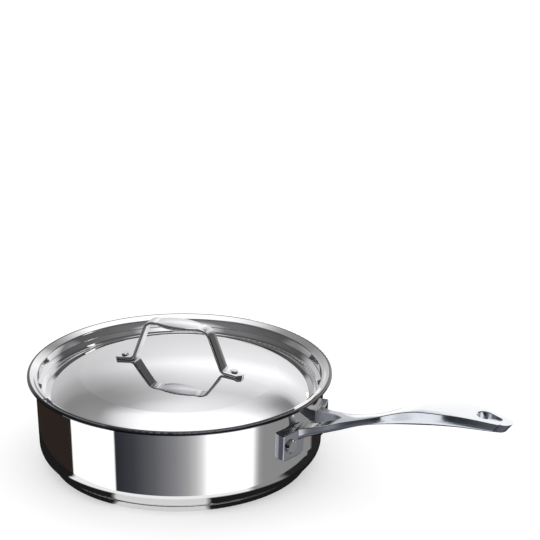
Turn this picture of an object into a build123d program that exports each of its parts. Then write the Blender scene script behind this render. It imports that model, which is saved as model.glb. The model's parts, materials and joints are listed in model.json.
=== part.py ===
"""Saute pan with lid: deep straight-sided steel pan on an encapsulated base, riveted cast fork handle,
and a loose recessed lid with a riveted strap handle. Millimetres, +Z up, +X along the long handle.
The origin is on the pan's axis, on the underside of the base."""

from build123d import *
import math
import os

# Pan body: one deep-drawn sheet
wall_radius = 120.8          # outside of the wall, just under the lip
wall_draft = 2.2             # degrees that the wall leans outwards
sheet = 0.9                  # thickness of the drawn steel
corner_radius = 14.0         # outside, between wall and floor
pan_height = 79.2            # top of the lip above the hob
lip_reach = 6.8              # how far the pouring lip stands out from the wall
lip_slope = 25.0             # degrees that the lip climbs outwards
lip_bend_radius = 2.5        # under the lip, where it leaves the wall
lip_curl_radius = 0.8        # under the turned-down edge of the lip
lip_curl_drop = 2.4          # height of the turned-down edge

# Base: an aluminium disc closed in by a steel cap
base_inset = 13.2            # from the wall's outside in to the base's edge
base_height = 6.0
cap_sheet = 0.6
cap_edge_radius = 1.6
cap_return = 2.6             # how far the cap's rim folds in over the disc
base_fit = 0.05              # between disc, cap and pan floor

# Lid: a shallow dome set down inside a stepped rim
lid_sheet = 0.8
lid_flange_reach = 0.6       # how far the lid's flange passes the wall's outside
lid_skirt_gap = 0.5          # between the lid's skirt and the inside of the pan
lid_skirt_draft = 3.0        # degrees that the skirt leans
lid_ledge_depth = 9.0        # from the lip's top down to the ledge's outer side
lid_ledge_width = 3.1
lid_ledge_drop = 2.8
lid_step_width = 1.1         # short steep step from the ledge down into the groove
lid_step_drop = 2.4
lid_groove_flat = 2.6        # straight stretch from the groove up into the dome's shoulder
lid_edge_slope = 31.0        # degrees, of that stretch
lid_shoulder_width = 28.7    # from there in to the dome's middle, which is part of one large ball
lid_dome_rise = 6.9          # top of the dome above the lip's top
lid_bend_radius = 1.5
ledge_bend_radius = 0.9
lid_seat_gap = 0.1           # between the lid's flange and the pan's lip
lid_turn = 4.5               # degrees that the loose lid is turned on the pan

# Lid handle: a bent strap with a leaf-shaped grip
strap_width = 13.0
strap_thickness = 2.6
strap_edge_radius = 0.9
strap_crown = 0.15           # swell of the strap's faces
strap_foot_bend = 40.0       # from the lid's axis to the bend over each foot
strap_foot_end = 58.0
strap_top_bend = 27.3
strap_rise = 35.7            # top of the grip above the top of the dome
strap_foot_radius = 4.5
strap_top_radius = 9.5
grip_width = 21.0
grip_thickness = 3.6
grip_crown = 0.65
grip_shoulder = 0.55         # where the grip's outline is fullest off its middle, as a share of its half length
grip_fullness = 0.72         # how much of the extra width it has there
lid_rivet_place = 49.3       # from the lid's axis
lid_rivet_shank = 3.6
lid_rivet_head = 6.4
lid_rivet_proud = 1.3
lid_rivet_bevel = 0.5
lid_rivet_inner_head = 8.0
lid_rivet_inner_proud = 1.2

# Long handle: a cast fork. Stations run outwards: share of the handle's reach, rise of the top edge over
# the fork's root, half width, height of the upright side, whole depth.
handle_reach = 179.2         # from the wall to the tip
handle_drop = 19.2           # from the lip's top down to the top edge of the fork's root
handle_stations = [
    (-0.038, 0.0, 25.6, 5.4, 7.8),
    (0.029, 0.3, 22.2, 4.6, 7.0),
    (0.074, 1.6, 18.6, 3.8, 6.2),
    (0.118, 3.2, 15.4, 3.4, 6.2),
    (0.169, 5.4, 11.0, 3.2, 7.0),
    (0.247, 9.3, 7.7, 2.4, 6.3),
    (0.341, 14.4, 5.0, 2.6, 7.4),
    (0.442, 22.0, 6.4, 4.0, 11.0),
    (0.543, 28.7, 10.5, 4.6, 13.4),
    (0.665, 32.6, 13.9, 4.2, 12.2),
    (0.788, 33.9, 13.8, 3.8, 10.8),
    (0.888, 32.5, 11.2, 3.2, 9.2),
    (0.956, 31.0, 8.4, 2.6, 7.8),
    (1.022, 29.6, 6.8, 2.4, 7.0),
]
flare_stations = [           # the arms' outer sides sweep out into the pads; joined to handle_stations[1]
    (0.000, 0.1, 30.5, 5.4, 7.8),
    (0.007, 0.1, 27.2, 5.3, 7.7),
    (0.014, 0.2, 24.4, 5.1, 7.5),
]
handle_crown = 0.05          # rise of the top face over its edges, as a share of its half width
handle_edge_radius = 0.6     # along both edges of the top face
tip_radius = 7.6
tip_undercut = 38.0          # degrees that the nose slopes back underneath
fork_mouth_half = 13.4       # half width of the opening between the arms, at the pads
fork_crotch_reach = 29.7
fork_side_radius = 47.0      # the opening's sides bulge outwards
fork_crotch_radius = 2.4
slot_inset = 12.0            # hanging slot: from the tip to the middle of its outer end
slot_length = 12.0           # between the middles of its two round ends
slot_inner_radius = 6.2
slot_outer_radius = 2.8
slot_rim_chamfer = 0.7

# Pads that rivet the fork to the wall
pad_offset = 28.2            # sideways from the handle's middle plane to a pad's middle
pad_width = 26.0
pad_height = 23.6
pad_thickness = 5.0
pad_corner_radius = 5.0      # lower corner under the arm
pad_small_radius = 1.2
pad_edge_radius = 0.8
seat_gap = 0.1               # between pieces that are riveted together
rivet_offset = 32.4          # sideways from the handle's middle plane
rivet_shank = 5.6
rivet_head = 11.4
rivet_head_proud = 2.4
rivet_head_bevel = 1.0
rivet_inner_head = 11.0
rivet_inner_proud = 1.4
hole_gap = 0.1               # round every rivet's shank

# Worked out from the sizes above
lip_climb = math.tan(math.radians(lip_slope))
lip_edge = wall_radius + lip_reach - sheet
lip_under = pan_height - sheet - lip_curl_radius * (1 - lip_climb - 1 / math.cos(math.radians(lip_slope)))
lip_bend_height = lip_under - (lip_edge - wall_radius) * lip_climb
base_radius = wall_radius - base_inset
dome_top = pan_height + lid_dome_rise
handle_root = pan_height - handle_drop
pad_middle = handle_root - pad_height / 2


def wall_at(height):
    """Outside radius of the pan's wall at a height."""
    return wall_radius - (lip_bend_height - height) * math.tan(math.radians(wall_draft))


def sheet_face(path, thickness):
    """Closes a line into the cross-section of a sheet of even thickness, laid on the line's left."""
    return make_face(offset(path, thickness, side=Side.LEFT).edges())


def full_turn(face):
    return revolve(Plane.XZ * face, Axis.Z, 360)


def below_wall(extra, low, high):
    """The pan's outside as a solid plug, made larger all round by extra."""
    outline = Polyline((0, low), (wall_at(low) + extra, low), (wall_at(high) + extra, high), (0, high), close=True)
    return full_turn(make_face(outline))


def wall_plane(offset_from_middle):
    """A plane on the wall at the pads' height that looks straight out of it, its own Y climbing the wall."""
    radius = wall_at(pad_middle)
    turn = math.asin(offset_from_middle / radius)
    lean = math.radians(wall_draft)
    foot = (radius * math.cos(turn), radius * math.sin(turn), pad_middle)
    outwards = (math.cos(turn) * math.cos(lean), math.sin(turn) * math.cos(lean), -math.sin(lean))
    return Plane(origin=foot, x_dir=(-math.sin(turn), math.cos(turn), 0), z_dir=outwards)


def make_pan_body():
    outside = FilletPolyline(
        (0, base_height),
        (wall_at(base_height), base_height),
        (wall_radius, lip_bend_height),
        (lip_edge, lip_under),
        (lip_edge, pan_height - lip_curl_drop),
        radius=[corner_radius, lip_bend_radius, lip_curl_radius],
    )
    body = full_turn(sheet_face(outside, sheet))
    for side in (-1, 1):
        body -= wall_plane(side * rivet_offset) * Cylinder(rivet_shank / 2 + hole_gap, wall_radius / 2)
    return body


def make_base_cap():
    rim = base_height - base_fit
    under = FilletPolyline(
        (0, 0),
        (base_radius, 0),
        (base_radius, rim),
        (base_radius - cap_return, rim),
        radius=cap_edge_radius,
    )
    return full_turn(sheet_face(under, cap_sheet))


def make_base_core():
    edge = base_radius - cap_sheet - base_fit
    low = cap_sheet + base_fit
    high = base_height - base_fit
    under_fold = high - cap_sheet - base_fit
    inner = base_radius - cap_return - base_fit
    outline = Polyline(
        (0, low), (edge, low), (edge, under_fold), (inner, under_fold), (inner, high), (0, high), close=True
    )
    face = make_face(outline)
    outer_corners = face.vertices().group_by(Axis.X)[-1]
    return full_turn(fillet(outer_corners, cap_edge_radius - cap_sheet))


def lid_groove():
    """Radius and height of the lowest point of the lid, where the dome starts."""
    ledge_height = pan_height - lid_ledge_depth
    skirt_low = wall_at(ledge_height) - sheet - lid_skirt_gap - lid_sheet
    return skirt_low - lid_ledge_width - lid_step_width, ledge_height - lid_ledge_drop - lid_step_drop


def dome_profile():
    """Foot of the dome's shoulder, where it meets the ball, the shoulder's radius and the ball's."""
    slope = math.radians(lid_edge_slope)
    groove = lid_groove()
    foot = (groove[0] - lid_groove_flat * math.cos(slope), groove[1] + lid_groove_flat * math.sin(slope))
    meeting_radius = foot[0] - lid_shoulder_width
    rise = dome_top - foot[1]
    # With t and s the tangents of half the slopes at the meeting and the foot, both arcs together climb
    # meeting_radius * t + lid_shoulder_width * (s + t) / (1 - s * t), which is solved for t
    half_slope = math.tan(slope / 2)
    square = meeting_radius * half_slope
    plain = rise * half_slope + foot[0]
    fixed = rise - lid_shoulder_width * half_slope
    lean = 2 * math.atan((plain - math.sqrt(plain**2 - 4 * square * fixed)) / (2 * square))
    ball = meeting_radius / math.sin(lean)
    shoulder = lid_shoulder_width / (math.sin(slope) - math.sin(lean))
    meeting = (meeting_radius, dome_top - ball * (1 - math.cos(lean)))
    return foot, meeting, shoulder, ball


def make_lid():
    slope = math.radians(lip_slope)
    lean = math.tan(math.radians(lid_skirt_draft))
    flange_edge = wall_radius + lid_flange_reach
    seat = lip_bend_height + (sheet + lid_seat_gap + lid_sheet) / math.cos(slope)
    flange_tip = (flange_edge, seat + lid_flange_reach * lip_climb)
    groove = lid_groove()
    ledge_outer = (groove[0] + lid_step_width + lid_ledge_width, pan_height - lid_ledge_depth)
    ledge_inner = (groove[0] + lid_step_width, groove[1] + lid_step_drop)
    skirt_rise = flange_tip[1] - ledge_outer[1] - (flange_edge - ledge_outer[0]) * lip_climb
    skirt_rise /= 1 - lean * lip_climb
    skirt_top = (ledge_outer[0] + skirt_rise * lean, ledge_outer[1] + skirt_rise)
    foot, meeting, shoulder_radius, ball_radius = dome_profile()
    rim = FilletPolyline(
        flange_tip,
        skirt_top,
        ledge_outer,
        ledge_inner,
        groove,
        foot,
        radius=[lid_bend_radius, ledge_bend_radius, ledge_bend_radius, ledge_bend_radius],
    )
    shoulder = RadiusArc(foot, meeting, -shoulder_radius)
    dome = RadiusArc(meeting, (0, dome_top), -ball_radius)
    lid = full_turn(sheet_face(Wire([*rim.edges(), *shoulder.edges(), *dome.edges()]), lid_sheet))
    for side in (-1, 1):
        lid -= foot_plane(side) * Cylinder(lid_rivet_shank / 2 + hole_gap, strap_rise)
    return Rot(Z=lid_turn) * lid


def foot_plane(side):
    """The plane that touches the dome's upper face where a foot is riveted, facing out of the lid."""
    ball_radius = dome_profile()[-1]
    lean = math.asin(lid_rivet_place / ball_radius)
    height = dome_top - ball_radius * (1 - math.cos(lean))
    return Plane(
        origin=(side * lid_rivet_place, 0, height),
        x_dir=(math.cos(lean), 0, -side * math.sin(lean)),
        z_dir=(side * math.sin(lean), 0, math.cos(lean)),
    )


def across(place, height):
    """A plane square to +X, its own Y pointing up."""
    return Plane(origin=(place, 0, height), x_dir=(0, 1, 0), z_dir=(1, 0, 0))


def strap_section(share):
    """Cross-section of the lid handle, from the plain strap (share 0) to the middle of the grip (share 1)."""
    half_width = (strap_width + share * (grip_width - strap_width)) / 2
    half = (strap_thickness + share * (grip_thickness - strap_thickness)) / 2
    crown = strap_crown + share * (grip_crown - strap_crown)
    flat = half_width - strap_edge_radius
    top = ThreePointArc((-flat, half), (0, half + crown), (flat, half))
    right = ThreePointArc((flat, half), (half_width, 0), (flat, -half))
    bottom = ThreePointArc((flat, -half), (0, -half - crown / 2), (-flat, -half))
    left = ThreePointArc((-flat, -half), (-half_width, 0), (-flat, half))
    return make_face([top, right, bottom, left])


def make_lid_handle():
    grip_height = dome_top + strap_rise - strap_thickness / 2
    grip_half_length = strap_top_bend - strap_top_radius
    foot = foot_plane(1)
    middle = seat_gap + strap_crown / 2 + strap_thickness / 2
    foot_bend = foot * Pos(strap_foot_bend - lid_rivet_place, 0, middle)
    foot_end = foot * Pos(strap_foot_end - lid_rivet_place, 0, middle)
    line = FilletPolyline(
        (grip_half_length, 0, grip_height),
        (strap_top_bend, 0, grip_height),
        foot_bend.position,
        foot_end.position,
        radius=[strap_top_radius, strap_foot_radius],
    )
    leg = sweep(across(grip_half_length, grip_height) * strap_section(0), path=line)
    corner = Pos(strap_width / 2, 0, 0) * Box(strap_width, strap_width * 2, strap_width)
    corner -= Cylinder(strap_width / 2, strap_width)
    leg -= foot * Pos(strap_foot_end - lid_rivet_place - strap_width / 2, 0, 0) * corner
    leg -= foot * Cylinder(lid_rivet_shank / 2 + hole_gap, strap_rise / 2)
    shares = [(-1, 0), (-grip_shoulder, grip_fullness), (0, 1), (grip_shoulder, grip_fullness), (1, 0)]
    grip = loft([across(step * grip_half_length, grip_height) * strap_section(share) for step, share in shares])
    return Rot(Z=lid_turn) * (grip + leg + mirror(leg, about=Plane.YZ))


def rivet(shank, top, head, proud, bevel, bottom, inner_head, inner_proud):
    """A rivet along its own Z: outer head above top, inner head below bottom."""
    outer = Cylinder(head / 2, proud, align=(Align.CENTER, Align.CENTER, Align.MIN))
    outer = chamfer(outer.edges().group_by(Axis.Z)[-1], bevel)
    inner = Cylinder(inner_head / 2, inner_proud, align=(Align.CENTER, Align.CENTER, Align.MAX))
    inner = fillet(inner.edges().group_by(Axis.Z)[0], inner_proud / 2)
    body = Cylinder(shank / 2, top - bottom, align=(Align.CENTER, Align.CENTER, Align.MIN))
    return Pos(0, 0, top) * outer + Pos(0, 0, bottom) * (inner + body)


def make_lid_rivet(side):
    top = strap_thickness + 3 * strap_crown / 2 + 2 * seat_gap
    shape = rivet(lid_rivet_shank, top, lid_rivet_head, lid_rivet_proud, lid_rivet_bevel,
                  -lid_sheet - seat_gap, lid_rivet_inner_head, lid_rivet_inner_proud)
    return Rot(Z=lid_turn) * (foot_plane(side) * shape)


def make_handle_rivet(side):
    inner_wall = wall_at(pad_middle) - sheet
    hollow = inner_wall - math.sqrt(inner_wall**2 - (rivet_inner_head / 2) ** 2)
    shape = rivet(rivet_shank, pad_thickness + 2 * seat_gap, rivet_head, rivet_head_proud, rivet_head_bevel,
                  -sheet - seat_gap - hollow, rivet_inner_head, rivet_inner_proud)
    return wall_plane(side * rivet_offset) * shape


def handle_section(share, rise, half_width, side, depth):
    """Cross-section of the cast handle: crowned top, eased edges, upright sides, rounded underside."""
    ease = handle_edge_radius
    top_edge = half_width - ease
    top = ThreePointArc((-top_edge, 0), (0, handle_crown * half_width), (top_edge, 0))
    right_edge = RadiusArc((top_edge, 0), (half_width, -ease), ease)
    right = Line((half_width, -ease), (half_width, -side))
    under = Spline((half_width, -side), (0, -depth), (-half_width, -side), tangents=[(0, -1), (0, 1)])
    left = Line((-half_width, -side), (-half_width, -ease))
    left_edge = RadiusArc((-half_width, -ease), (-top_edge, 0), ease)
    face = make_face([top, right_edge, right, under, left, left_edge])
    return across(wall_radius + share * handle_reach, handle_root + rise) * face


def along_handle(reach, column):
    """One column of the stations at a distance from the wall, between two stations in proportion."""
    share = reach / handle_reach
    near = max(station for station in handle_stations if station[0] <= share)
    far = min(station for station in handle_stations if station[0] > share)
    return near[column] + (far[column] - near[column]) * (share - near[0]) / (far[0] - near[0])


def top_height(reach):
    """Height of the handle's top edges at a distance from the wall."""
    return handle_root + along_handle(reach, 1)


def top_width(reach):
    """Half width of the handle's top at a distance from the wall."""
    return along_handle(reach, 2)


def fork_opening():
    """The gap between the fork's arms, as a plug that runs right through."""
    mouth = wall_radius - pad_thickness
    crotch = (wall_radius + fork_crotch_reach, 0)
    far_side = RadiusArc((mouth, fork_mouth_half), crotch, fork_side_radius)
    near_side = RadiusArc(crotch, (mouth, -fork_mouth_half), fork_side_radius)
    ends = Line((mouth, -fork_mouth_half), (mouth, fork_mouth_half))
    outline = make_face([far_side, near_side, ends])
    outline = fillet(outline.vertices().sort_by(Axis.X)[-1], fork_crotch_radius)
    return extrude(outline, amount=2 * pan_height)


def hanging_slot():
    """The teardrop slot near the tip, with its chamfered rim, as a plug square to the top face."""
    outer_reach = handle_reach - slot_inset
    inner_reach = outer_reach - slot_length
    inner_height = top_height(inner_reach)
    fall = math.atan2(inner_height - top_height(outer_reach), slot_length)
    ends = [Circle(slot_inner_radius), Pos(slot_length, 0) * Circle(slot_outer_radius)]
    outline = make_hull([edge for end in ends for edge in end.edges()])
    through = extrude(outline, amount=slot_length, both=True)
    crown = handle_crown * top_width(inner_reach)
    rim = extrude(Pos(0, 0, crown - slot_rim_chamfer) * outline, amount=2 * slot_rim_chamfer, taper=-45)
    return Pos(wall_radius + inner_reach, 0, inner_height) * Rot(Y=math.degrees(fall)) * (through + rim)


def make_pad(side):
    """One curved pad of the fork, as a blank pressed to the round of the wall."""
    low = pad_middle - pad_height
    high = pad_middle + pad_height
    shell = below_wall(seat_gap + pad_thickness, low, high) - below_wall(seat_gap, low, high)
    inner = -side * pad_width / 2
    outer = side * pad_width / 2
    outline = FilletPolyline(
        (inner, pad_height / 2),
        (outer, pad_height / 2),
        (outer, -pad_height / 2),
        (inner, -pad_height / 2),
        radius=[pad_small_radius, pad_small_radius, pad_small_radius, pad_corner_radius],
        close=True,
    )
    blank = extrude(wall_plane(side * pad_offset) * make_face(outline), amount=3 * pad_thickness, both=True)
    pad = shell & blank
    outer_face = pad.faces().sort_by_distance((0, 0, pad_middle))[-1]
    return fillet(outer_face.edges(), pad_edge_radius)


def tip_waste():
    """What is ground away round the nose: all past an upright cylinder that leans back underneath."""
    lean = math.radians(tip_undercut)
    axis_place = wall_radius + handle_reach - tip_radius / math.cos(lean)
    waste = Pos(2 * tip_radius, 0, 0) * Box(4 * tip_radius, 8 * tip_radius, 8 * tip_radius)
    waste -= Cylinder(tip_radius, 8 * tip_radius)
    return Pos(axis_place, 0, top_height(handle_reach)) * Rot(Y=tip_undercut) * waste


def make_long_handle():
    bar = loft([handle_section(*station) for station in handle_stations])
    bar += loft([handle_section(*station) for station in [*flare_stations, handle_stations[1]]])
    bar -= fork_opening()
    bar -= hanging_slot()
    bar -= tip_waste()
    bar -= below_wall(seat_gap, 0, pan_height)
    for side in (-1, 1):
        bar += make_pad(side)
        bar -= wall_plane(side * rivet_offset) * Cylinder(rivet_shank / 2 + hole_gap, 4 * pad_thickness)
    return bar


pieces = {
    "pan_body": make_pan_body(),
    "base_cap": make_base_cap(),
    "base_core": make_base_core(),
    "long_handle": make_long_handle(),
    "handle_rivet_front": make_handle_rivet(-1),
    "handle_rivet_back": make_handle_rivet(1),
    "lid": make_lid(),
    "lid_handle": make_lid_handle(),
    "lid_rivet_left": make_lid_rivet(-1),
    "lid_rivet_right": make_lid_rivet(1),
}

os.makedirs("parts", exist_ok=True)
for name, piece in pieces.items():
    export_step(piece, f"parts/{name}.step")
    box = piece.bounding_box()
    print(f"{name}: {piece.volume / 1000:.1f} cm3, {box.size.X:.1f} x {box.size.Y:.1f} x {box.size.Z:.1f} mm")
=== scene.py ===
import json
import math

import bpy
from mathutils import Matrix, Vector

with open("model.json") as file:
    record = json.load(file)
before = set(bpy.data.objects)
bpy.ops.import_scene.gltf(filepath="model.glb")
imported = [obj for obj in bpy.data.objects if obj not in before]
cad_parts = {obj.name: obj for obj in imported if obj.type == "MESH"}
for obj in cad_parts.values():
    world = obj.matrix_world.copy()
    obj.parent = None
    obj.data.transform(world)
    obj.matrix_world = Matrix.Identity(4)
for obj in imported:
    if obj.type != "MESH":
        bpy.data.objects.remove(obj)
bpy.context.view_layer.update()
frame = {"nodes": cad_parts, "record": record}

nodes = frame["nodes"]
mm = 0.001

# The photograph's camera, fitted to the circles of the base, wall, lip and lid
picture_size = 540                      # pixels
base_centre_in_picture = (180.65, 456.32)
sensor_width = 36.0                     # mm
lens = 200.0                            # mm
camera_turn = math.radians(26.5)        # the long handle points this far towards the viewer
camera_pitch = math.radians(21.35)
camera_distance = 2.545                 # m, from the lens to the centre of the base
camera_sees_to = 50                     # m, well past the floor's edge

camera_right = Vector((math.cos(camera_turn), math.sin(camera_turn), 0))
level_ahead = Vector((-math.sin(camera_turn), math.cos(camera_turn), 0))
camera_ahead = level_ahead * math.cos(camera_pitch) - Vector((0, 0, math.sin(camera_pitch)))
camera_up = level_ahead * math.sin(camera_pitch) + Vector((0, 0, math.cos(camera_pitch)))

# What the finishes need to know of the pan
lip_bend_height = 76.0 * mm             # where the wall turns out into the lip
lip_edge_radius = 125.2 * mm            # the outermost 2.4 mm of the lip
lip_reach = 128.0 * mm                  # from the pan's axis to just past the lip
lid_seat_radius = 119.0 * mm            # the lid's skirt and all that lies inside it
cap_underside_height = 0.3 * mm         # the cap's flat underside is lower than this
fork_end = 152.0 * mm                   # from the pan's axis to past the end of the gap between the arms
fork_face = (2 * mm, 6 * mm)            # a face in the gap is further than these from the fork's middle
looking_up = (0.2, 0.5)                 # from a face that leans back a little to one that looks well up
shade_fades_over = 6 * mm                  # over this length out from the lip the painted shade on the handle's top fades away
side_softness = 0.05                    # how softly the outside's finish gives way to the inside's

# The studio's sizes
tent_radius = 8                         # m
floor_radius = 9                        # m
floor_height = -0.2 * mm                # a hair under the base
floor_lift = 0.42                       # what brings the lit board up to white where it is seen
base_card_height = -0.1 * mm            # between the base and the floor
base_card_radius = 150 * mm
base_card_step = (127 * mm, 133 * mm)   # where the card's inner ring gives way to its outer one


def hex_colour(code, strength=1.0):
    """An sRGB hex value as linear red, green, blue and alpha, times a strength."""
    parts = [int(code[i:i + 2], 16) / 255 for i in (1, 3, 5)]
    return (*[strength * (c / 12.92 if c <= 0.04045 else ((c + 0.055) / 1.055) ** 2.4) for c in parts], 1)


def grey(level, strength=1.0):
    """A neutral grey as hex_colour gives it, from its sRGB level of 0 to 255."""
    return hex_colour(f"#{level:02x}{level:02x}{level:02x}", strength)


def add(tree, kind, inputs=(), stops=(), **settings):
    """Adds a shader node. Its settings are its properties. Its inputs are values, sockets or nodes, by name
    or else in the order of its open sockets, and a node stands for its own first open output. Stops are the
    places and colours of a colour ramp."""
    node = tree.nodes.new(kind)
    for name, value in settings.items():
        setattr(node, name, value)
    if not isinstance(inputs, dict):
        open_sockets = [i for i, socket in enumerate(node.inputs) if socket.enabled]
        inputs = dict(zip(open_sockets, inputs))
    for name, value in inputs.items():
        if isinstance(value, bpy.types.Node):
            value = next(socket for socket in value.outputs if socket.enabled)
        if isinstance(value, bpy.types.NodeSocket):
            tree.links.new(value, node.inputs[name])
        else:
            node.inputs[name].default_value = value
    if stops:
        elements = node.color_ramp.elements
        while len(elements) < len(stops):
            elements.new(1)
        for element, (place, colour) in zip(elements, stops):
            element.position = place
            element.color = colour
    return node


def part_way(tree, value, low, high):
    """How far a value has come from low to high, eased, from 0 to 1."""
    return add(tree, "ShaderNodeMapRange", [value, low, high], interpolation_type="SMOOTHSTEP")


def new_tree(name):
    """A new material, and its empty node tree."""
    material = bpy.data.materials.new(name)
    material.use_nodes = True
    material.node_tree.nodes.clear()
    return material, material.node_tree


def make_camera():
    """Aims the camera so that the base's centre comes where the photograph has it."""
    pixel = sensor_width / picture_size / lens
    across = (base_centre_in_picture[0] - picture_size / 2) * pixel
    down = (base_centre_in_picture[1] - picture_size / 2) * pixel
    sight = (camera_ahead + camera_right * across - camera_up * down).normalized()
    data = bpy.data.cameras.new("camera")
    data.lens = lens
    data.sensor_width = sensor_width
    data.clip_end = camera_sees_to
    camera = bpy.data.objects.new("camera", data)
    bpy.context.scene.collection.objects.link(camera)
    turn = Matrix((camera_right, camera_up, -camera_ahead)).transposed()
    camera.matrix_world = Matrix.Translation(-sight * camera_distance) @ turn.to_4x4()
    bpy.context.scene.camera = camera


# The studio that the polished steel mirrors. Every stop has an angle in degrees and a colour. Angles go
# round the object from the viewer, with the picture's right positive, or up from level.
soft_box = grey(255, 1.25)               # a little over white
white_card = hex_colour("#fffcf5", 1.45)  # the handle's card, brighter and a little warm


def greys(*stops):
    """Stops whose colours are sRGB levels of grey, with 255 for a soft box."""
    return [(angle, soft_box if level == 255 else grey(level)) for angle, level in stops]


low_cards = [                            # round the object, below level, mirrored by the pan's wall
    (-180, hex_colour("#2e2622")), (-97, hex_colour("#2e2622")), (-96, soft_box), (-53.5, soft_box),
    (-52.5, hex_colour("#2c2e33")), (-36, hex_colour("#404247")), (-19, hex_colour("#636467")),
    (-2, hex_colour("#8b8b8e")), (7, grey(165)), (14, grey(198)), (19, grey(232)), (24, soft_box),
    (62, soft_box), (66, grey(205)), (69, grey(160)), (73, grey(146)), (135, grey(143)),
    (137, hex_colour("#2b2623")), (180, hex_colour("#2b2623")),
]
under_cards = [                          # round the object, lower still
    (-180, hex_colour("#3a3638")), (-125, hex_colour("#3a3638")), (-105, soft_box), (-62, soft_box),
    (-45, hex_colour("#5f6168")), (60, hex_colour("#74767c")), (130, hex_colour("#54565c")),
    (180, hex_colour("#3a3638")),
]
# The base card's two rings, round the object too
inner_ring = greys((-180, 30), (-30, 30), (-28, 222), (13, 222), (15, 30), (180, 30))
outer_ring = greys((-180, 30), (-59, 30), (-57, 250), (34, 250), (38, 146), (54, 143), (60, 40), (180, 40))

# The walls over the cards, each a column of greys that goes up from level. The far ones stand beyond the
# object and are mirrored by the lid's dome.
far_left_wall = greys((8, 208), (15, 205), (20, 200), (26, 178), (30, 165), (34, 145), (38, 142), (42, 147),
                      (46, 152), (50, 160), (54, 172), (64, 215), (72, 250))
far_wall = greys((-18, 215), (5, 232), (10, 238), (18, 250), (24, 255), (30, 250), (35, 232), (38, 220),
                 (41, 232), (45, 248), (52, 255))
far_right_wall = greys((10, 240), (26, 241), (31, 228), (34, 192), (36, 138), (39, 140), (42, 158),
                       (46, 200), (50, 240), (55, 255))
side_wall = greys((-18, 96), (10, 92), (30, 82), (50, 104), (62, 116), (67, 128), (75, 255))
near_wall = greys((-18, 24), (2, 30), (12, 60), (25, 96), (40, 112), (55, 118), (66, 126), (74, 255))

# Where one part of the studio gives way to the next, from and to
under_to_low = (-36, -31)                # up from level
low_to_walls = (-22, -17)
far_to_side = (42, 54)                   # to either side of straight ahead
side_to_near = (80, 100)
left_to_middle = (-18, 3)                # right of straight ahead
middle_to_right = (6, 32)

# High up, the far left wall's edge moves further left and gets softer, by so many degrees for each one up
edge_moves_above = 42
edge_moves_by = 2.5
edge_softens_by = 1.8


def only_mirrored(card, material):
    """Gives a card its material and leaves it to mirrored rays: neither the camera nor the floor sees it,
    it casts no shadow and it isn't sampled as a lamp."""
    card.visible_camera = card.visible_diffuse = card.visible_transmission = card.visible_shadow = False
    material.cycles.emission_sampling = "NONE"
    card.data.materials.append(material)


def glowing(tree, colour):
    """A card's own even light."""
    light = add(tree, "ShaderNodeEmission", {"Color": colour})
    add(tree, "ShaderNodeOutputMaterial", {"Surface": light})


def direction(tree):
    """The way from a card's centre to a point on it, one unit long: how far right, ahead and up it goes."""
    point = add(tree, "ShaderNodeTexCoord").outputs["Object"]
    turned = add(tree, "ShaderNodeMapping", {"Vector": point, "Rotation": (0, 0, -camera_turn)})
    aim = add(tree, "ShaderNodeVectorMath", [turned], operation="NORMALIZE")
    return add(tree, "ShaderNodeSeparateXYZ", [aim]).outputs.values()


def angle_round(tree, right, ahead):
    """The angle round the object, from the viewer."""
    towards = add(tree, "ShaderNodeMath", [ahead, -1.0], operation="MULTIPLY")
    return add(tree, "ShaderNodeMath", [right, towards], operation="ARCTAN2")


def colours_by_angle(tree, angle, furthest, stops):
    """Colours along an angle that goes from -furthest to furthest degrees."""
    place = add(tree, "ShaderNodeMapRange", [angle, -math.radians(furthest), math.radians(furthest)])
    places = [((degrees + furthest) / (2 * furthest), colour) for degrees, colour in stops]
    return add(tree, "ShaderNodeValToRGB", [place], places)


def give_way(tree, angle, limits, first, second):
    """Lets one colour give way to another between two limits of an angle."""
    share = part_way(tree, angle, *map(math.radians, limits))
    return add(tree, "ShaderNodeMix", [share, first, second], data_type="RGBA")


def far_left_edge(tree, beyond, height):
    """How far the far left wall has given way to the far wall, from 0 to 1."""
    start, end = map(math.radians, left_to_middle)
    past_it = add(tree, "ShaderNodeMath", [height, math.radians(edge_moves_above)], operation="SUBTRACT")
    over_it = add(tree, "ShaderNodeMath", [past_it, 0.0], operation="MAXIMUM")
    edge = add(tree, "ShaderNodeMath", [over_it, -edge_moves_by, start], operation="MULTIPLY_ADD")
    width = add(tree, "ShaderNodeMath", [over_it, edge_softens_by, end - start], operation="MULTIPLY_ADD")
    inside = add(tree, "ShaderNodeMath", [beyond, edge], operation="SUBTRACT")
    share = add(tree, "ShaderNodeMath", [inside, width], operation="DIVIDE")
    return part_way(tree, share, 0.0, 1.0)


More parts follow.
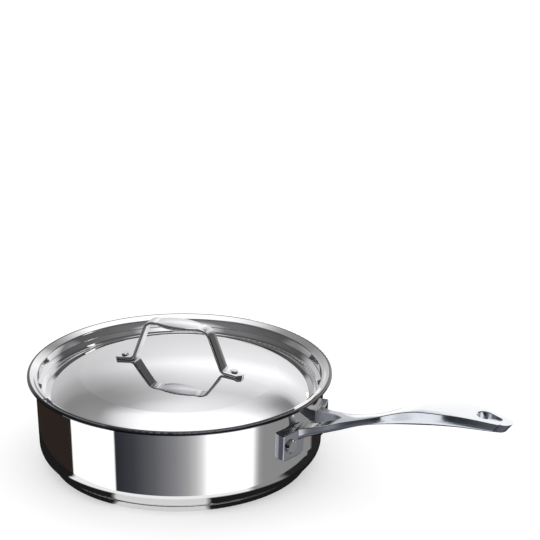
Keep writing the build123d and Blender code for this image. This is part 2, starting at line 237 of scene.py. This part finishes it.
def make_tent():
    """The studio's soft boxes and cards as one closed tent, far out, that only mirrored rays see."""
    bpy.ops.mesh.primitive_uv_sphere_add(segments=64, ring_count=32, radius=tent_radius)
    tent = bpy.context.object
    tent.name = "light_tent"
    material, tree = new_tree("soft_boxes_and_cards")
    right, ahead, up = direction(tree)
    around = angle_round(tree, right, ahead)
    beyond = add(tree, "ShaderNodeMath", [right, ahead], operation="ARCTAN2")
    aside = add(tree, "ShaderNodeMath", [beyond], operation="ABSOLUTE")
    height = add(tree, "ShaderNodeMath", [up], operation="ARCSINE")

    left, middle, right_hand, side, near = [
        colours_by_angle(tree, height, 90, wall)
        for wall in (far_left_wall, far_wall, far_right_wall, side_wall, near_wall)]
    low, under = [colours_by_angle(tree, around, 180, cards) for cards in (low_cards, under_cards)]

    far = add(tree, "ShaderNodeMix", [far_left_edge(tree, beyond, height), left, middle], data_type="RGBA")
    far = give_way(tree, beyond, middle_to_right, far, right_hand)
    beside = give_way(tree, aside, side_to_near, side, near)
    walls = give_way(tree, aside, far_to_side, far, beside)
    shown = give_way(tree, height, low_to_walls, low, walls)
    shown = give_way(tree, height, under_to_low, under, shown)
    glowing(tree, shown)
    only_mirrored(tent, material)


def make_base_card():
    """A flat card on the floor round the base, for the base's side and the pan's corner to mirror."""
    bpy.ops.mesh.primitive_circle_add(vertices=96, radius=base_card_radius, fill_type="NGON",
                                      location=(0, 0, base_card_height))
    card = bpy.context.object
    card.name = "base_card"
    material, tree = new_tree("card_round_the_base")
    right, ahead, _ = direction(tree)
    around = angle_round(tree, right, ahead)
    inner = colours_by_angle(tree, around, 180, inner_ring)
    outer = colours_by_angle(tree, around, 180, outer_ring)
    point = add(tree, "ShaderNodeTexCoord").outputs["Object"]
    reach = add(tree, "ShaderNodeVectorMath", [point], operation="LENGTH")
    outside = part_way(tree, reach, *base_card_step)
    glowing(tree, add(tree, "ShaderNodeMix", [outside, inner, outer], data_type="RGBA"))
    only_mirrored(card, material)


def make_handle_card():
    """A white card, upright and a little beyond the handle, that the handle's top mirrors. Its corners are
    so far right of the pan's axis and up, in millimetres."""
    corners = [(132, 72), (520, 72), (520, 400), (300, 400), (240, 220), (150, 104), (132, 92)]
    beyond = level_ahead * 30
    places = [(camera_right * right + beyond + Vector((0, 0, up))) * mm for right, up in corners]
    name = "white_card_behind_the_handle"
    mesh = bpy.data.meshes.new(name)
    mesh.from_pydata(places, [], [tuple(range(len(places)))])
    card = bpy.data.objects.new(name, mesh)
    bpy.context.scene.collection.objects.link(card)
    material, tree = new_tree(name)
    glowing(tree, white_card)
    only_mirrored(card, material)


def make_world():
    """Plain white light from all sides for the floor. The tent hides it from the steel."""
    world = bpy.data.worlds.new("studio")
    bpy.context.scene.world = world
    world.use_nodes = True
    world.node_tree.nodes.clear()
    light = add(world.node_tree, "ShaderNodeBackground", {"Color": grey(255), "Strength": 1.0})
    add(world.node_tree, "ShaderNodeOutputWorld", {"Surface": light})


def make_floor():
    """A matt board that comes out white where it is seen and keeps the pan's shadow. The steel mirrors the
    cards instead of it."""
    bpy.ops.mesh.primitive_circle_add(vertices=96, radius=floor_radius, fill_type="NGON",
                                      location=(0, 0, floor_height))
    floor = bpy.context.object
    floor.name = "floor"
    floor.visible_glossy = False
    material, tree = new_tree("matt_white_board")
    board = add(tree, "ShaderNodeBsdfDiffuse", {"Color": hex_colour("#dcdcdc")})
    ray = add(tree, "ShaderNodeLightPath").outputs
    seen = add(tree, "ShaderNodeMath", [ray["Is Camera Ray"], ray["Is Glossy Ray"]], operation="MAXIMUM")
    lifted = add(tree, "ShaderNodeMath", [seen, ray["Is Transmission Ray"]], operation="MAXIMUM")
    lift = add(tree, "ShaderNodeMath", [lifted, floor_lift], operation="MULTIPLY")
    glow = add(tree, "ShaderNodeEmission", {"Color": grey(255), "Strength": lift})
    both = add(tree, "ShaderNodeAddShader", [board, glow])
    add(tree, "ShaderNodeOutputMaterial", {"Surface": both})
    floor.data.materials.append(material)


# What the finishes share
noise_values = (0.3, 0.7)               # nearly all of a noise texture lies between these


def from_the_axis(tree):
    """How far a point is from the pan's axis, how high it is, and which way is straight out and level."""
    point = add(tree, "ShaderNodeTexCoord").outputs["Object"]
    flat = add(tree, "ShaderNodeVectorMath", [point, (1, 1, 0)], operation="MULTIPLY")
    reach = add(tree, "ShaderNodeVectorMath", [flat], operation="LENGTH")
    height = add(tree, "ShaderNodeSeparateXYZ", [point]).outputs["Z"]
    outwards = add(tree, "ShaderNodeVectorMath", [flat], operation="NORMALIZE")
    return reach, height, outwards


def spun_noise(tree, pitch, drift=3.0):
    """Noise drawn out into rings round the pan's axis, pitch metres apart, as a wheel or a press leaves
    them. More drift breaks the rings into shorter stretches."""
    reach, height, outwards = from_the_axis(tree)
    along = add(tree, "ShaderNodeMath", [reach, height], operation="ADD")
    rings = add(tree, "ShaderNodeMath", [along, pitch], operation="DIVIDE")
    lifted = add(tree, "ShaderNodeCombineXYZ", {"Z": rings})
    place = add(tree, "ShaderNodeVectorMath", [outwards, (drift, drift, 0), lifted],
                operation="MULTIPLY_ADD")
    return add(tree, "ShaderNodeTexNoise", {"Vector": place, "Scale": 1.0, "Detail": 3.0})


def drawn_noise(tree, pitch, stretch):
    """Noise drawn out along the pan's X axis, pitch metres across, as a belt leaves it on a long piece."""
    point = add(tree, "ShaderNodeTexCoord").outputs["Object"]
    thin = add(tree, "ShaderNodeMapping", {"Vector": point, "Scale": (1 / stretch, 1, 1)})
    return add(tree, "ShaderNodeTexNoise", {"Vector": thin, "Scale": 1 / pitch, "Detail": 3.0})


def cloudy_noise(tree, size):
    """Soft clouds, size metres across."""
    point = add(tree, "ShaderNodeTexCoord").outputs["Object"]
    return add(tree, "ShaderNodeTexNoise", {"Vector": point, "Scale": 1 / size, "Detail": 2.0})


def spread(tree, noise, low, high):
    """Turns noise, which keeps near its middle, into a value from low to high."""
    return add(tree, "ShaderNodeMapRange", [noise, *noise_values, low, high])


def outer_side(tree):
    """1 where the surface looks out or down from the pan's axis, 0 where it looks in or up."""
    _, _, outwards = from_the_axis(tree)
    out_and_down = add(tree, "ShaderNodeVectorMath", [outwards, (0, 0, 1)], operation="SUBTRACT")
    normal = add(tree, "ShaderNodeTexCoord").outputs["Normal"]
    lean = add(tree, "ShaderNodeVectorMath", [normal, out_and_down], operation="DOT_PRODUCT")
    return part_way(tree, lean, -side_softness, side_softness)


def steel_surface(tree, tone, roughness, relief, depth):
    """Bare steel: its tone, its roughness, and a relief of noise that stands up by depth metres."""
    bump = add(tree, "ShaderNodeBump", {"Height": relief, "Strength": 1.0, "Distance": depth})
    surface = add(tree, "ShaderNodeBsdfPrincipled", {
        "Base Color": tone, "Metallic": 1.0, "Roughness": roughness, "Normal": bump})
    add(tree, "ShaderNodeOutputMaterial", {"Surface": surface})


# The finishes

def pan_steel():
    """18/10 stainless, deep drawn. Mirror polished outside on a wheel, which leaves faint rings. Satin
    inside, from an abrasive pad on the turning pan: its rings are drawn 0.5 mm apart, as finer ones wouldn't
    show. The lip's outermost edge is painted dark grey: painted shade and reflection."""
    material, tree = new_tree("mirror_polished_drawn_stainless")
    reach, height, _ = from_the_axis(tree)
    on_the_lip = add(tree, "ShaderNodeMath", [height, lip_bend_height], operation="GREATER_THAN")
    mirror = add(tree, "ShaderNodeMath", [outer_side(tree), on_the_lip], operation="MAXIMUM")
    brushed = add(tree, "ShaderNodeMath", [1.0, mirror], operation="SUBTRACT")
    # Painted shade and reflection: past this radius the lip's edge is painted dark
    painted_dark_edge = add(tree, "ShaderNodeMath", [reach, lip_edge_radius], operation="GREATER_THAN")
    clouds = cloudy_noise(tree, size=45 * mm)
    rings = spun_noise(tree, pitch=0.5 * mm)
    inside = add(tree, "ShaderNodeMix", [rings, hex_colour("#c2c2c0"), hex_colour("#d8d7d4")],
                 data_type="RGBA")
    outside = add(tree, "ShaderNodeMix", [clouds, hex_colour("#ebebec"), hex_colour("#f1f1f2")],
                  data_type="RGBA")
    # The lip edge's dark grey is painted shade and reflection
    edge = add(tree, "ShaderNodeMix", [rings, hex_colour("#4c4d51"), hex_colour("#64656a")],
               data_type="RGBA")
    tone = add(tree, "ShaderNodeMix", [mirror, inside, outside], data_type="RGBA")
    tone = add(tree, "ShaderNodeMix", [painted_dark_edge, tone, edge], data_type="RGBA")
    satin = spread(tree, rings, 0.22, 0.34)
    polished = spread(tree, spun_noise(tree, pitch=2.2 * mm), 0.025, 0.045)
    roughness = add(tree, "ShaderNodeMix", [mirror, satin, polished], data_type="FLOAT")
    relief = add(tree, "ShaderNodeMath", [rings, brushed], operation="MULTIPLY")
    steel_surface(tree, tone, roughness, relief, depth=0.02 * mm)
    return material


def cap_steel():
    """18/0 stainless, pressed over the disc. Its edge is mirror polished, and its underside is turned on a
    lathe, which leaves fine grooves: they are drawn 0.6 mm apart, as finer ones wouldn't show."""
    material, tree = new_tree("turned_and_polished_stainless_cap")
    _, height, _ = from_the_axis(tree)
    low = add(tree, "ShaderNodeMath", [height, cap_underside_height], operation="LESS_THAN")
    underside = add(tree, "ShaderNodeMath", [outer_side(tree), low], operation="MULTIPLY")
    clouds = cloudy_noise(tree, size=30 * mm)
    grooves = spun_noise(tree, pitch=0.6 * mm, drift=0.6)
    edge = add(tree, "ShaderNodeMix", [clouds, hex_colour("#e9e9e8"), hex_colour("#efefee")],
               data_type="RGBA")
    turned = add(tree, "ShaderNodeMix", [grooves, hex_colour("#b4b4b2"), hex_colour("#d6d5d2")],
                 data_type="RGBA")
    tone = add(tree, "ShaderNodeMix", [underside, edge, turned], data_type="RGBA")
    polished = 0.04
    lathed = spread(tree, grooves, 0.2, 0.36)
    roughness = add(tree, "ShaderNodeMix", [underside, polished, lathed], data_type="FLOAT")
    relief = add(tree, "ShaderNodeMath", [grooves, underside], operation="MULTIPLY")
    steel_surface(tree, tone, roughness, relief, depth=0.03 * mm)
    return material


def core_aluminium():
    """Rolled aluminium disc: dull silver, with fine straight rolling lines."""
    material, tree = new_tree("rolled_aluminium")
    lines = drawn_noise(tree, pitch=0.8 * mm, stretch=40)
    tone = add(tree, "ShaderNodeMix", [lines, hex_colour("#c9cbcd"), hex_colour("#e2e3e5")],
               data_type="RGBA")
    steel_surface(tree, tone, spread(tree, lines, 0.3, 0.45), lines, depth=0.02 * mm)
    return material


def painted_shade_places(tree):
    """Where shade is painted: 1 on the fork's faces that look at each other and on those under the lip that
    look up, else 0.
    """
    place = add(tree, "ShaderNodeTexCoord")
    point = add(tree, "ShaderNodeSeparateXYZ", [place.outputs["Object"]]).outputs
    normal = add(tree, "ShaderNodeSeparateXYZ", [place.outputs["Normal"]]).outputs
    outwards = add(tree, "ShaderNodeMath", [point["Y"], normal["Y"]], operation="MULTIPLY")
    # Over 0 on a face that looks back to the middle: at most the face's distance from it
    inwards = add(tree, "ShaderNodeMath", [outwards, -1.0], operation="MULTIPLY")
    before_the_end = add(tree, "ShaderNodeMath", [point["X"], fork_end], operation="LESS_THAN")
    shaded_gap = add(tree, "ShaderNodeMath", [part_way(tree, inwards, *fork_face), before_the_end],
                     operation="MULTIPLY")
    looks_up = part_way(tree, normal["Z"], *looking_up)
    near_the_wall = part_way(tree, point["X"], lip_reach + shade_fades_over, lip_reach)
    shaded_under_lip = add(tree, "ShaderNodeMath", [looks_up, near_the_wall], operation="MULTIPLY")
    return add(tree, "ShaderNodeMath", [shaded_gap, shaded_under_lip], operation="MAXIMUM")


def cast_steel():
    """18/10 stainless, cast, then ground and buffed: a bright, slightly blue mirror, whose surface still
    swells by hundredths of a millimetre where the buff rode over it, so that reflections waver a little.
    Between the fork's arms and on the handle's top under the lip, shade is painted in: a darker grey, with a
    duller roughness."""
    material, tree = new_tree("buffed_cast_stainless")
    swell = cloudy_noise(tree, size=14 * mm)
    lines = drawn_noise(tree, pitch=0.9 * mm, stretch=30)
    grains = cloudy_noise(tree, size=1.2 * mm)
    # Painted shade between the fork's arms and on the handle's top under the lip
    painted_shade = painted_shade_places(tree)
    buffed = add(tree, "ShaderNodeMix", [swell, hex_colour("#c8ccd5"), hex_colour("#d1d5dd")],
                 data_type="RGBA")
    # The painted shade's dark grey
    painted_shade_tone = add(tree, "ShaderNodeMix", [grains, hex_colour("#6f7177"), hex_colour("#8e9097")],
               data_type="RGBA")
    tone = add(tree, "ShaderNodeMix", [painted_shade, buffed, painted_shade_tone], data_type="RGBA")
    smooth = spread(tree, lines, 0.1, 0.14)
    dull = spread(tree, grains, 0.16, 0.3)
    roughness = add(tree, "ShaderNodeMix", [painted_shade, smooth, dull], data_type="FLOAT")
    steel_surface(tree, tone, roughness, swell, depth=0.03 * mm)
    return material


def rivet_steel():
    """18/10 stainless wire, headed cold and polished: a little darker and softer than the sheet round it."""
    material, tree = new_tree("polished_headed_stainless")
    clouds = cloudy_noise(tree, size=3 * mm)
    tone = add(tree, "ShaderNodeMix", [clouds, hex_colour("#d6d7da"), hex_colour("#e2e3e6")],
               data_type="RGBA")
    steel_surface(tree, tone, spread(tree, clouds, 0.06, 0.11), clouds, depth=0.01 * mm)
    return material


def lid_steel():
    """18/10 stainless, pressed and mirror polished on top, with faint rings from the wheel. Its underside
    is satin, with rings drawn 0.5 mm apart, as finer ones wouldn't show."""
    material, tree = new_tree("mirror_polished_pressed_stainless")
    reach, _, _ = from_the_axis(tree)
    inside_the_flange = add(tree, "ShaderNodeMath", [reach, lid_seat_radius], operation="LESS_THAN")
    underside = add(tree, "ShaderNodeMath", [outer_side(tree), inside_the_flange], operation="MULTIPLY")
    clouds = cloudy_noise(tree, size=50 * mm)
    rings = spun_noise(tree, pitch=0.5 * mm)
    top = add(tree, "ShaderNodeMix", [clouds, hex_colour("#ebebed"), hex_colour("#f0f0f2")],
              data_type="RGBA")
    below = add(tree, "ShaderNodeMix", [rings, hex_colour("#c4c4c2"), hex_colour("#dad9d6")],
                data_type="RGBA")
    tone = add(tree, "ShaderNodeMix", [underside, top, below], data_type="RGBA")
    polished = spread(tree, spun_noise(tree, pitch=2.0 * mm), 0.025, 0.045)
    satin = spread(tree, rings, 0.2, 0.32)
    roughness = add(tree, "ShaderNodeMix", [underside, polished, satin], data_type="FLOAT")
    relief = add(tree, "ShaderNodeMath", [rings, underside], operation="MULTIPLY")
    steel_surface(tree, tone, roughness, relief, depth=0.02 * mm)
    return material


def strap_steel():
    """18/10 stainless strip, stamped and bent, then tumbled and buffed along its length."""
    material, tree = new_tree("buffed_stainless_strip")
    lines = drawn_noise(tree, pitch=0.7 * mm, stretch=25)
    clouds = cloudy_noise(tree, size=20 * mm)
    swell = cloudy_noise(tree, size=12 * mm)
    tone = add(tree, "ShaderNodeMix", [clouds, hex_colour("#e8e8ea"), hex_colour("#efeff1")],
               data_type="RGBA")
    steel_surface(tree, tone, spread(tree, lines, 0.035, 0.06), swell, depth=0.012 * mm)
    return material


make_camera()
make_world()
make_tent()
make_base_card()
make_handle_card()
make_floor()

finishes = {
    "pan_steel": pan_steel(),
    "cap_steel": cap_steel(),
    "core_aluminium": core_aluminium(),
    "cast_steel": cast_steel(),
    "rivet_steel": rivet_steel(),
    "lid_steel": lid_steel(),
    "strap_steel": strap_steel(),
}
for subpart in frame["record"]["subparts"]:
    node = nodes[subpart["node"]]
    node.data.materials.clear()
    node.data.materials.append(finishes[subpart["material_slot"]])

bpy.context.scene.view_settings.view_transform = "Standard"
